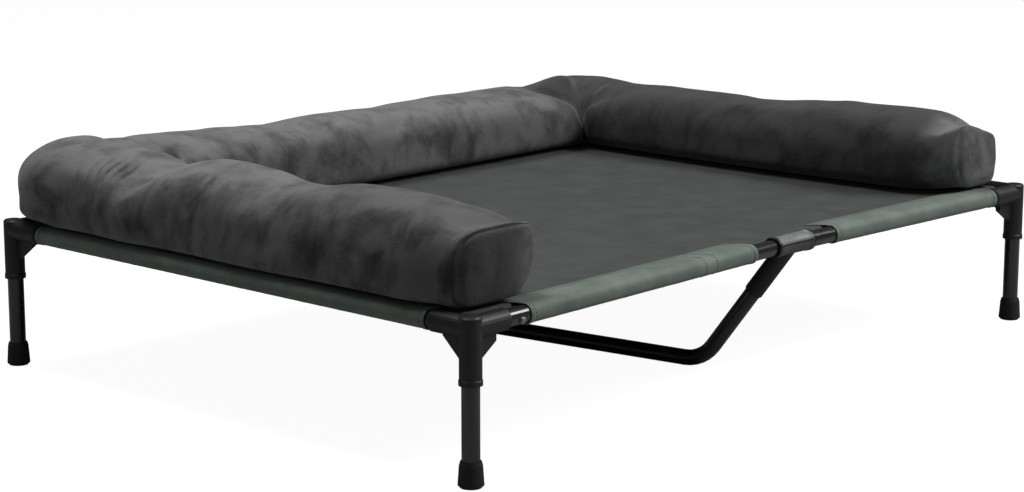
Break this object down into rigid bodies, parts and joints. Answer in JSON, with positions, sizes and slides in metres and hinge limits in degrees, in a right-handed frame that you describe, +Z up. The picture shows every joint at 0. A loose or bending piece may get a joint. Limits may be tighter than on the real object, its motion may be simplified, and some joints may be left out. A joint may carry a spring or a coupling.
{
  "type": "raised pet cot with bolster",
  "caption": "Raised tube-frame pet cot with rubber-footed legs, a taut hemmed deck, a bent support bar under its middle and a loose U-shaped plush bolster.",
  "frame": {"origin": "on the floor, under the middle of the cot", "axes": "+X to the right along the long open front edge, +Y to the rear (the open front is at -Y), +Z up"},
  "size_m": [1.204, 0.8989, 0.3186],
  "materials": {
    "moulded_black": "satin black glass-filled moulding",
    "painted_black": "gloss black powder-coated steel tube",
    "rubber_black": "matt black moulded rubber",
    "bare_steel": "zinc-plated steel",
    "button_grey": "dark grey plated steel",
    "woven_sleeve": "sage green coated weave",
    "woven_deck": "dark grey-green coated weave",
    "plush_charcoal": "charcoal short-pile plush"
  },
  "bodies": {
    "frame": {"corner_front_left": "moulded_black", "corner_front_right": "moulded_black", "corner_rear_left": "moulded_black", "corner_rear_right": "moulded_black", "leg_front_left": "painted_black", "leg_front_right": "painted_black", "leg_rear_left": "painted_black", "leg_rear_right": "painted_black", "foot_front_left": "rubber_black", "foot_front_right": "rubber_black", "foot_rear_left": "rubber_black", "foot_rear_right": "rubber_black", "front_rail_long": "painted_black", "front_rail_short": "painted_black", "rear_rail_long": "painted_black", "rear_rail_short": "painted_black", "side_rail_left": "painted_black", "side_rail_right": "painted_black", "support_bar": "painted_black", "front_tee": "moulded_black", "rear_tee": "moulded_black", "front_snap_spring": "bare_steel", "rear_snap_spring": "bare_steel", "stub_long_front_left": "bare_steel", "stub_side_front_left": "bare_steel", "stub_long_front_right": "bare_steel", "stub_side_front_right": "bare_steel", "stub_long_rear_left": "bare_steel", "stub_side_rear_left": "bare_steel", "stub_long_rear_right": "bare_steel", "stub_side_rear_right": "bare_steel", "sleeve_front_long": "woven_sleeve", "sleeve_front_short": "woven_sleeve", "sleeve_rear_long": "woven_sleeve", "sleeve_rear_short": "woven_sleeve", "sleeve_left": "woven_sleeve", "sleeve_right": "woven_sleeve", "deck_panel": "woven_deck"},
    "front_button": {"front_snap_button": "button_grey"},
    "rear_button": {"rear_snap_button": "button_grey"},
    "bolster": {"bolster": "plush_charcoal"}
  },
  "joints": [
    {"name": "front_button_press", "type": "slide", "parent": "frame", "child": "front_button", "axis": [-0.0293, 0.9392, 0.342], "range_m": [0, 0.0048], "stiffness_N_per_m": 800, "springref_m": -0.002},
    {"name": "rear_button_press", "type": "slide", "parent": "frame", "child": "rear_button", "axis": [0.0293, -0.9392, 0.342], "range_m": [0, 0.0048], "stiffness_N_per_m": 800, "springref_m": -0.002},
    {"name": "bolster_lift_off", "type": "slide", "parent": "frame", "child": "bolster", "axis": [0, 0, 1], "range_m": [0, 0.25]}
  ]
}
